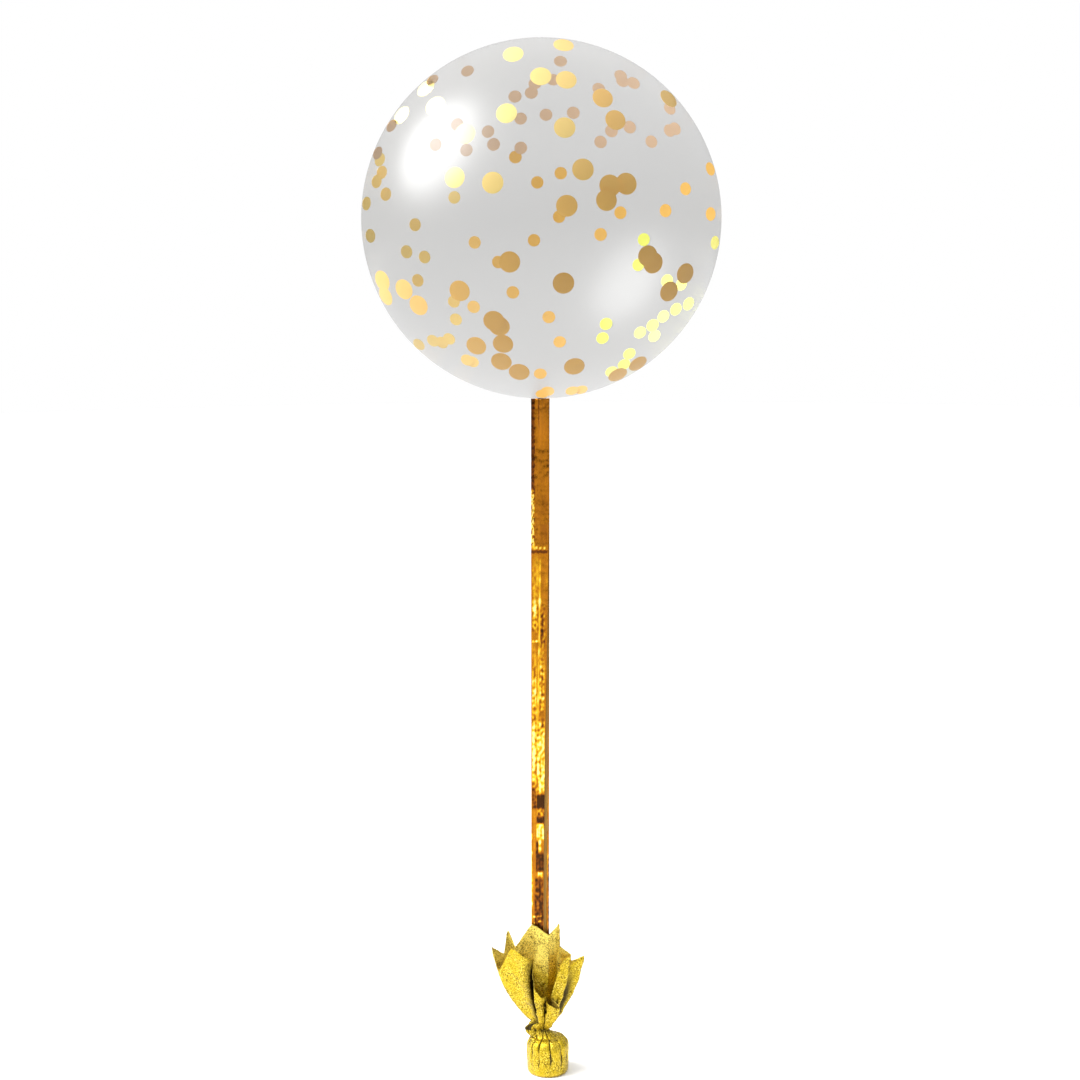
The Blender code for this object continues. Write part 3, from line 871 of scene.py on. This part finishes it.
def ribbon_section(z, look):
    """The folded band at one height: the turned-in right edge, back layer, left fold, front flap."""
    middle, away, half = ribbon_middle(z)
    spread = half / (RIBBON_WIDTH / 2)
    hem = ramp(RIBBON_HEM_LOW, RIBBON_HEM_HIGH, smoothstep(0.22, 0.56, z)) * spread
    flap_end = half - ramp(FLAP_SHORT_LOW, FLAP_SHORT_HIGH, smoothstep(0.22, 0.82, z)) * spread
    fold_turn = 0.7 * RIBBON_HALF_GAP
    points = []

    def put(across, depth, wave):
        gap = layer_gap(middle + across, z)
        stand = creases(across + wave, z, look.crinkle)
        points.append((middle + across, away + depth * gap + stand, z))

    for k in range(4):
        put(ramp(half - hem, half - 0.0003, k / 3), 0.72, 0.3)
    for k in range(14):
        put(ramp(half, -half + fold_turn, k / 13), 1.0, 0.0)
    for degrees in (45, 90, 135):
        turn = math.radians(degrees)
        put(-half + fold_turn * (1 - math.sin(turn)), math.cos(turn), 0.0)
    for k in range(20):
        across = ramp(-half + fold_turn, flap_end, k / 19)
        ridge = RIDGE_HEIGHT / RIBBON_HALF_GAP * max(0.0, 1 - abs(across) / (0.30 * half))
        put(across, -1.0 - ridge * smoothstep(0.30, 0.42, z), 0.1)
    return points


class BALLOON_OT_ribbon(bpy.types.Operator):
    """Makes the crinkled foil ribbon, folded lengthwise"""

    bl_idname = "balloon.ribbon"
    bl_label = "Foil ribbon"

    def execute(self, context):
        look = context.scene.ribbon_look
        points, painted_lights = [], []
        for k in range(look.rows):
            z = ramp(RIBBON_FOOT_Z, RIBBON_TOP_Z, k / (look.rows - 1))
            section = ribbon_section(z, look)
            middle = ribbon_middle(z)[0]
            points += section
            painted_lights += [foil_painted_light(point[0] - middle, z) for point in section]
        count = len(points) // look.rows
        faces = grid_faces(look.rows, count, closed=False)
        ribbon = mesh_piece("ribbon_foil", points, faces, [amber_finish(look), tan_finish(look)])
        store(ribbon, "glow", painted_lights)
        sides = ribbon.modifiers.new("two sides", "SOLIDIFY")
        sides.thickness = look.thickness
        sides.offset = 0.0
        sides.material_offset = 1
        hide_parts("foil_ribbon")
        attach(ribbon, "root")
        return {"FINISHED"}


def pleat(angle, sharpness=3):
    """1 in the bottom of a pleat and 0 between pleats, which aren't quite evenly spaced."""
    turn = angle * PLEATS + 0.9 * math.sin(2 * angle) + 0.6 * math.sin(3 * angle + 1.0)
    return max(0.0, math.cos(turn)) ** sharpness


def slant(z):
    """How far round the weight its sharp creases wander at this height."""
    return 0.10 * noise.noise(Vector((z * 60, 3.0, 1.0)))


def gather(angle, look):
    """1 on the crest of a fine waist pleat and 0 in its groove."""
    turn = look.gathers * angle + 1.1 * math.sin(3 * angle + 0.5) + 0.7 * math.sin(7 * angle)
    return 0.5 + 0.5 * math.cos(turn)


def weight_stations(look):
    """(radius, height, pleat depth, shift, crumple share) up the wrapped weight to the waist."""
    base_radius = WEIGHT_RADIUS - BASE_EDGE_RADIUS
    stations = [(base_radius * k / 8, 0.0, 0.0, 0.0, 0.0) for k in range(1, 9)]
    for k in range(1, 5):
        turn = math.radians(22.5 * k)
        radius = base_radius + BASE_EDGE_RADIUS * math.sin(turn)
        z = look.base_round * (1 - math.cos(turn))
        stations.append((radius, z, 0.0, 0.0, 0.1 * k))
    side_top = WEIGHT_HEIGHT - SHOULDER_RADIUS
    for k in range(1, 25):
        share = k / 24
        z = ramp(look.base_round, side_top, share)
        stations.append((WEIGHT_RADIUS, z, PLEAT_DEPTH * share, 0.0, ramp(0.5, 1.0, share)))
    for k in range(1, 9):
        turn = math.radians(90 * k / 8)
        radius = WEIGHT_RADIUS - SHOULDER_RADIUS * (1 - math.cos(turn))
        z = side_top + SHOULDER_RADIUS * math.sin(turn)
        stations.append((radius, z, 1.2 * PLEAT_DEPTH, 0.0, 1.0))
    shoulder_radius = WEIGHT_RADIUS - SHOULDER_RADIUS
    for k in range(1, 17):
        share = k / 17
        radius = ramp(shoulder_radius, WAIST_RADIUS, share)
        z = ramp(WEIGHT_HEIGHT, WAIST_HEIGHT, share**1.6)
        pleating = ramp(1.2, 0.7, share) * PLEAT_DEPTH
        stations.append((radius, z, pleating, WAIST_SHIFT * share, ramp(1.0, 0.4, share)))
    return stations


def ear_bulge(angle, z):
    """How far the wrapper's loose ear stands out beside the waist, on the left."""
    bulge = max(0.0, 1 - ((z - EAR_Z) / EAR_HALF_HEIGHT) ** 2)
    return EAR_REACH * bulge * max(0.0, math.cos(angle - EAR_TURN)) ** EAR_SHARPNESS


def base_corner(angle):
    """The folded base's radius at this angle, as a share of its radius at a corner."""
    half_side = math.pi / BASE_CORNERS
    return math.cos(half_side) / math.cos(angle % (2 * half_side) - half_side)


def weight_rows(look, around):
    rows = []
    for radius, z, pleating, shift, _ in weight_stations(look):
        row = []
        spread = max(0.0, radius - WAIST_RADIUS) / WEIGHT_GATHER_FADE
        near_waist = math.exp(-spread) if z > WEIGHT_HEIGHT else 0.0
        cornered = max(0.0, 1 - z / BASE_EDGE_RADIUS)
        for k in range(around):
            angle = full_turn(k, around)
            drawn = radius * ramp(1.0, base_corner(angle), cornered) - pleating * pleat(angle)
            drawn -= 0.35 * pleating * pleat(angle + slant(z), 24)
            drawn -= WEIGHT_GATHER_DEPTH * near_waist * (1 - gather(angle, look))
            across = WEIGHT_ACROSS + shift + drawn * math.cos(angle) - ear_bulge(angle, z)
            row.append(Vector((across, drawn * math.sin(angle), z)))
        rows.append(row)
    return rows


def fold_point(fold, share):
    """Where a fold line of the flare is at this share of the way from the waist to the cut edge."""
    angle = full_turn(fold, len(FLARE_EDGE))
    waist = Vector((WAIST_ACROSS, 0.0, WAIST_HEIGHT))
    start = waist + WAIST_RADIUS * Vector((math.cos(angle), math.sin(angle), 0.0))
    across, away, up = FLARE_EDGE[fold][1:4]
    end = waist + Vector((across * FLARE_REACH, away * FLARE_REACH, up * FLARE_HEIGHT))
    spread = (1 + FLARE_BULGE) * share - FLARE_BULGE * share * share
    flat = start.lerp(end, spread)
    return Vector((flat.x, flat.y, ramp(start.z, end.z, share)))


def across_fold(corners, rounds, fold, share):
    """A point between this fold line and the next: rounded over soft folds, straight at sharp ones."""
    folds = len(corners)
    before, here = corners[fold - 1], corners[fold]
    following, beyond = corners[(fold + 1) % folds], corners[(fold + 2) % folds]
    chord = following - here
    leave = chord.lerp((following - before) / 2, rounds[fold])
    arrive = chord.lerp((beyond - here) / 2, rounds[(fold + 1) % folds])
    squared, cubed = share * share, share**3
    return (here * (2 * cubed - 3 * squared + 1) + leave * (cubed - 2 * squared + share)
            + following * (3 * squared - 2 * cubed) + arrive * (cubed - squared))


def flare_rows(look, around):
    """Rows of the flare's sheet, rounded over its soft folds and gathered at the waist."""
    folds = len(FLARE_EDGE)
    waist = Vector((WAIST_ACROSS, 0.0))
    rounds = [row[4] for row in FLARE_EDGE]
    rows = []
    for r in range(look.flare_rows):
        share = r / (look.flare_rows - 1)
        row = []
        corners = [fold_point(fold, share) for fold in range(folds)]
        tight = math.exp(-share * FLARE_HEIGHT / FLARE_GATHER_FADE)
        for k in range(around):
            angle = full_turn(k, around)
            fold, step = divmod(k, look.columns)
            point = across_fold(corners, rounds, fold, step / look.columns)
            point.z += 0.0009 * noise.noise(Vector((k * 0.37, 2.0, 0.0))) * share**4
            out = (Vector((point.x, point.y)) - waist).normalized()
            drawn = FLARE_GATHER_DEPTH * tight * (1 - gather(angle, look))
            ear = ear_bulge(angle, point.z)
            row.append(Vector((point.x - out.x * drawn - ear, point.y - out.y * drawn, point.z)))
        rows.append(row)
    return rows


def crease_shade(column, share, columns):
    """How dark the shadow of the nearest creases is here, 0 to 1. The share runs up the flare."""
    folds = len(FLARE_EDGE)
    darkest = 0.0
    for fold, row in enumerate(FLARE_EDGE):
        if row[0] not in CREASE_SHADES:
            continue
        dark, before, after = CREASE_SHADES[row[0]]
        offset = (column / columns - fold + folds / 2) % folds - folds / 2
        spread = (before if offset < 0 else after) / columns
        if abs(offset) < CREASE_REACH:
            fade = math.exp(-(offset / spread) ** 2)
            darkest = max(darkest, dark * fade * ramp(1.0, 0.30, share**3))
    return darkest


def row_normals(rows, around):
    """Outward normals of the sheet at each of its points."""
    normals = []
    for r, row in enumerate(rows):
        below, above = rows[max(0, r - 1)], rows[min(len(rows) - 1, r + 1)]
        line = []
        for k in range(around):
            along = row[(k + 1) % around] - row[k - 1]
            line.append(along.cross(above[k] - below[k]).normalized())
        normals.append(line)
    return normals


def crumple(point, look):
    """How far the foil stands off its smooth form here: crests, creases and embossing."""
    broad = 1 - 2.4 * abs(noise.noise(point * 48))
    crest = 1 - 2.4 * abs(noise.noise(point * 105 + Vector((7, 1, 3))))
    fine = 1 - 2.4 * abs(noise.noise(point * 250 + Vector((2, 9, 4))))
    grain = noise.noise(point * 520)
    return look.crumple * (0.7 * broad + 0.45 * crest) + look.crinkle * (0.8 * fine + 0.7 * grain)


def weight_crease_shade(place, angle, column):
    """How dark the painted shade in the weight's sharp creases is here, 0 to 1 and a little over."""
    reach = smoothstep(0.004, 0.026, place.z) * smoothstep(0.060, 0.050, place.z)
    uneven = 0.75 + 0.9 * noise.noise(Vector((column * 0.05, 7.0, place.z * 45)))
    return 1.5 * pleat(angle + slant(place.z), 7) * reach * uneven


def shut_in(mesh):
    """How shut in each point is, 0 to 1: how many rays from it meet foil, and how soon."""
    tree = BVHTree.FromPolygons([v.co for v in mesh.vertices], [f.vertices for f in mesh.polygons])
    spread = []
    for k in range(SHADE_RAYS):
        rise = math.sqrt((k + 0.5) / SHADE_RAYS)
        flat = math.sqrt(1 - rise * rise)
        turn = 2.4 * k
        spread.append((flat * math.cos(turn), flat * math.sin(turn), rise))
    shares = []
    for vertex in mesh.vertices:
        normal = vertex.normal
        side = normal.orthogonal().normalized()
        other = normal.cross(side)
        start = vertex.co + normal * SHADE_LIFT
        shut = 0.0
        for x, y, z in spread:
            hit = tree.ray_cast(start, side * x + other * y + normal * z, SHADE_REACH)
            if hit[0] is not None:
                shut += 1 - 0.5 * hit[3] / SHADE_REACH
        shares.append(shut / SHADE_RAYS)
    return shares


def add_shade(piece, around, look):
    """Stores how shut in each point is, 0 to 1, with the creases' darkness: painted shade on the foil
    deep in its folds and creases.

    By the cut edge, inside the flare, it falls below 0, which paints light onto the foil there.
    """
    mesh = piece.data
    shares = shut_in(mesh)
    body = np.array(shares[1:-1]).reshape(-1, around)
    for _ in range(2):
        body = (body + np.roll(body, 1, 1) + np.roll(body, -1, 1)) / 3
        body[1:-1] = (body[1:-1] + body[2:] + body[:-2]) / 3
    low_count = len(weight_stations(look))
    for r in range(len(body)):
        above = r - low_count
        inside = above >= look.flare_rows
        if inside:
            above = 2 * look.flare_rows - 1 - above
        share = max(0, above) / (look.flare_rows - 1)
        for k in range(around):
            place = mesh.vertices[1 + r * around + k].co
            angle = full_turn(k, around)
            # Painted shade in the creases of the weight and of the flare
            if r < low_count:
                crease = weight_crease_shade(place, angle, k)
            else:
                crease = crease_shade(k, share, look.columns)
            # Painted shade in the grooves of the waist's gathers
            waist = math.exp(-abs(place.z - WAIST_HEIGHT) / WAIST_SHADE_HEIGHT)
            crease = max(crease, 0.9 * waist * (1 - gather(angle, look)) ** 2)
            # Painted shade along thin wandering lines, as of small creases
            line = max(0.0, 1 - 11 * abs(noise.noise(place * 62 + Vector((3, 8, 5)))))
            crease = max(crease, 0.55 * line * smoothstep(0.0, 0.3, noise.noise(place * 40)))
            # Inside the flare by its cut edge: less painted shade, and painted light where no crease is
            if inside:
                body[r, k] *= ramp(1.0, 0.15, smoothstep(0.20, 0.65, share))
                crease *= smoothstep(0.7, 0.3, share)
            body[r, k] = max(body[r, k], CREASE_DARKEST * crease)
            if inside and crease < 0.1:
                body[r, k] -= INSIDE_PAINTED_LIGHT * smoothstep(0.40, 0.85, share)
    store(piece, "shade", [shares[0], *body.ravel().tolist(), shares[-1]])


class BALLOON_OT_wrapper(bpy.types.Operator):
    """Makes the embossed foil wrapper: base, pleated weight, gathered waist and crumpled flare"""

    bl_idname = "balloon.wrapper"
    bl_label = "Foil wrapper"

    def execute(self, context):
        look = context.scene.wrapper_look
        around = len(FLARE_EDGE) * look.columns
        low_rows = weight_rows(look, around)
        rows = low_rows + flare_rows(look, around)
        normals = row_normals(rows, around)
        shares = [station[4] * 0.5 for station in weight_stations(look)]
        for r in range(look.flare_rows):
            shares.append(ramp(0.25, 1.0, smoothstep(0.0, 0.25, r / look.flare_rows)))
        outer, inner = [], []
        for row, line, share in zip(rows, normals, shares):
            stood = [p + n * crumple(p, look) * share for p, n in zip(row, line)]
            outer.append([p + n * look.thickness / 2 for p, n in zip(stood, line)])
            inner.append([p - n * look.thickness / 2 for p, n in zip(stood, line)])
        rings = outer + inner[:len(low_rows) - 1:-1]
        points = [Vector((WEIGHT_ACROSS, 0.0, 0.0))]
        for ring in rings:
            points += ring
        points.append(sum(rings[-1], Vector()) / around)
        faces = closed_faces(len(rings), around)
        wrapper = mesh_piece("wrapper_foil", points, faces, [gold_finish(look)])
        add_shade(wrapper, around, look)
        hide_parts("foil_wrapped_weight")
        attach(wrapper, "root")
        return {"FINISHED"}


def make_lamp(name, kind, energy, location, towards, **settings):
    lamp = bpy.data.lights.new(name, kind)
    lamp.energy = energy
    for key, value in settings.items():
        setattr(lamp, key, value)
    holder = bpy.data.objects.new(name, lamp)
    holder.visible_camera = False
    bpy.context.scene.collection.objects.link(holder)
    aim = (Vector(towards) - Vector(location)).to_track_quat("-Z", "Y")
    holder.matrix_world = Matrix.Translation(location) @ aim.to_matrix().to_4x4()
    return holder


def make_world():
    """White behind the object, and a dimmer sky with a bright top for what shines."""
    world = bpy.data.worlds.new("studio")
    world.use_nodes = True
    nodes = Nodes(world.node_tree)
    nodes.tree.nodes.remove(nodes.tree.nodes["Background"])
    place = nodes.node("ShaderNodeTexCoord", output="Generated")
    height = nodes.node("ShaderNodeSeparateXYZ", None, {0: place}, "Z")
    strength = nodes.between(height, SKY_LOW, SKY_HIGH, SKY_DIM, SKY_BRIGHT)
    lit = nodes.node("ShaderNodeBackground", None, {"Color": SKY_GREY, "Strength": strength})
    seen = nodes.node("ShaderNodeBackground", None, {"Color": (1.0, 1.0, 1.0)})
    rays = nodes.node("ShaderNodeLightPath", output="Is Camera Ray")
    mixed = nodes.node("ShaderNodeMixShader", None, {0: rays, 1: lit, 2: seen})
    nodes.feed(nodes.tree.nodes["World Output"].inputs["Surface"], mixed)
    bpy.context.scene.world = world


def make_camera(look):
    camera = bpy.data.cameras.new("camera")
    camera.lens = look.lens
    camera.sensor_width = 36.0
    camera.clip_end = 200.0
    holder = bpy.data.objects.new("camera", camera)
    bpy.context.scene.collection.objects.link(holder)
    place = Matrix.Translation((CAMERA_ACROSS, -CAMERA_AWAY, GLOBE_CENTRE.z))
    pitch = Matrix.Rotation(math.pi / 2 - look.pitch, 4, "X")
    holder.matrix_world = place @ pitch @ Matrix.Rotation(look.roll, 4, "Z")
    bpy.context.scene.camera = holder


class BALLOON_OT_stage(bpy.types.Operator):
    """Makes the pale floor, the soft lamps and the camera"""

    bl_idname = "balloon.stage"
    bl_label = "Stage"

    def execute(self, context):
        look = context.scene.stage_look
        sides = 96
        turns = [full_turn(k, sides) for k in range(sides)]
        rim = [Vector((math.cos(turn), math.sin(turn), 0.0)) * look.floor_reach for turn in turns]
        floor = mesh_piece("floor", rim, [tuple(range(sides))], [floor_finish(look)])
        side = Vector(KEY_SIDE)
        make_lamp("sky", "SUN", look.sky, side, (0, 0, 0), angle=look.sky_spread)
        box = GLOBE_CENTRE + side * look.key_away
        make_lamp("softbox", "AREA", look.key, box, GLOBE_CENTRE, shape="DISK", size=look.key_size)
        make_world()
        make_camera(look)
        context.scene.view_settings.view_transform = "Standard"
        return {"FINISHED"}


class BALLOON_PT_panel(bpy.types.Panel):
    """Lists the balloon's pieces in the sidebar"""

    bl_label = "Clear Bubble Balloon"
    bl_space_type = "VIEW_3D"
    bl_region_type = "UI"
    bl_category = "Balloon"

    def draw(self, context):
        for operator, group in PIECES:
            box = self.layout.box()
            box.operator(operator.bl_idname)
            settings = getattr(context.scene, group)
            for name in settings.__annotations__:
                box.prop(settings, name)


PIECES = (
    (BALLOON_OT_film, "film_look"),
    (BALLOON_OT_discs, "disc_look"),
    (BALLOON_OT_ribbon, "ribbon_look"),
    (BALLOON_OT_wrapper, "wrapper_look"),
    (BALLOON_OT_stage, "stage_look"),
)
LOOKS = {
    "film_look": FilmLook,
    "disc_look": DiscLook,
    "ribbon_look": RibbonLook,
    "wrapper_look": WrapperLook,
    "stage_look": StageLook,
}


def register():
    for name, group in LOOKS.items():
        bpy.utils.register_class(group)
        setattr(bpy.types.Scene, name, PointerProperty(type=group))
    for operator, _ in PIECES:
        bpy.utils.register_class(operator)
    bpy.utils.register_class(BALLOON_PT_panel)


def unregister():
    bpy.utils.unregister_class(BALLOON_PT_panel)
    for operator, _ in reversed(PIECES):
        bpy.utils.unregister_class(operator)
    for name, group in reversed(LOOKS.items()):
        delattr(bpy.types.Scene, name)
        bpy.utils.unregister_class(group)


def main():
    register()
    bpy.ops.balloon.film()
    bpy.ops.balloon.discs()
    bpy.ops.balloon.ribbon()
    bpy.ops.balloon.wrapper()
    bpy.ops.balloon.stage()


if __name__ == "__main__":
    main()
